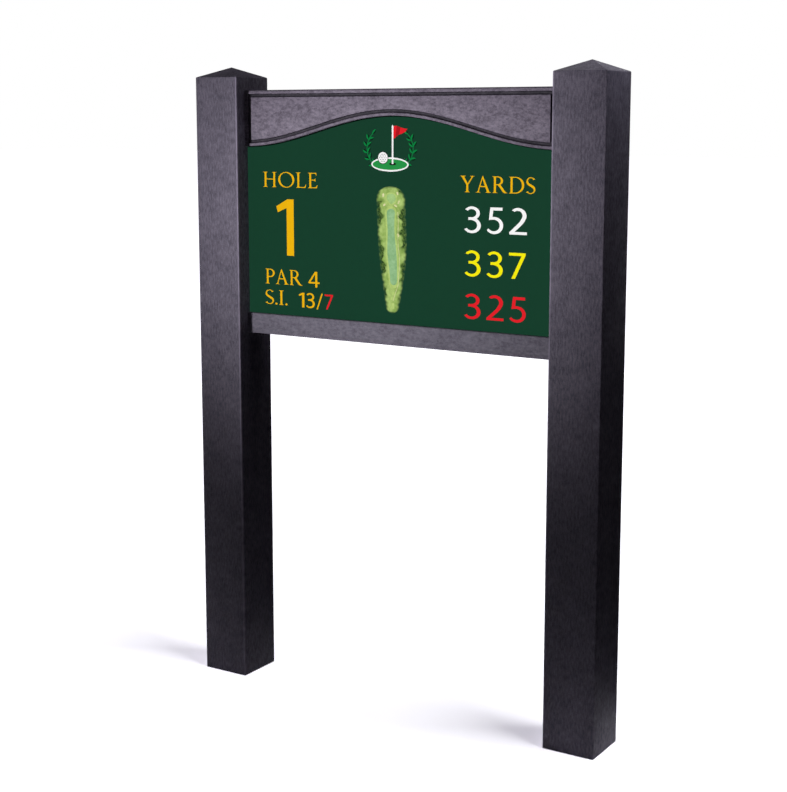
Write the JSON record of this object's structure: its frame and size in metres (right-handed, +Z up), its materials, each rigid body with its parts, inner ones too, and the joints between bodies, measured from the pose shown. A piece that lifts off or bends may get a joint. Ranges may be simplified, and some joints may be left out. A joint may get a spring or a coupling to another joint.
{
  "type": "golf tee sign",
  "caption": "Square pointed posts carrying an arched, routed head rail, a plain bottom rail and a printed hole-information panel held in slots between them.",
  "frame": {"origin": "on the ground, midway between the posts and midway through their thickness", "axes": "+X along the sign to the right as it is read, +Y away from the reader, +Z up; the printed face looks along -Y"},
  "size_m": [0.872, 0.1, 1.22],
  "materials": {
    "post_plastic": "charcoal recycled plastic, fine brushed grain with a slight sheen",
    "rail_plastic": "charcoal recycled plastic, planed and routed",
    "panel_sheet": "composite sheet with a grey back coat",
    "print_film": "dark green printed film with a satin laminate",
    "fastener_steel": "stainless steel",
    "cap_plastic": "moulded charcoal plastic"
  },
  "bodies": {
    "root": {"left_post": "post_plastic", "right_post": "post_plastic", "head_rail": "rail_plastic", "bottom_rail": "rail_plastic", "sign_panel": "panel_sheet", "print_film": "print_film", "screw_left_upper": "fastener_steel", "screw_left_middle": "fastener_steel", "screw_left_lower": "fastener_steel", "screw_right_upper": "fastener_steel", "screw_right_middle": "fastener_steel", "screw_right_lower": "fastener_steel", "washer_left_upper": "fastener_steel", "washer_left_middle": "fastener_steel", "washer_left_lower": "fastener_steel", "washer_right_upper": "fastener_steel", "washer_right_middle": "fastener_steel", "washer_right_lower": "fastener_steel", "cap_left_upper": "cap_plastic", "cap_left_middle": "cap_plastic", "cap_left_lower": "cap_plastic", "cap_right_upper": "cap_plastic", "cap_right_middle": "cap_plastic", "cap_right_lower": "cap_plastic"}
  },
  "joints": []
}
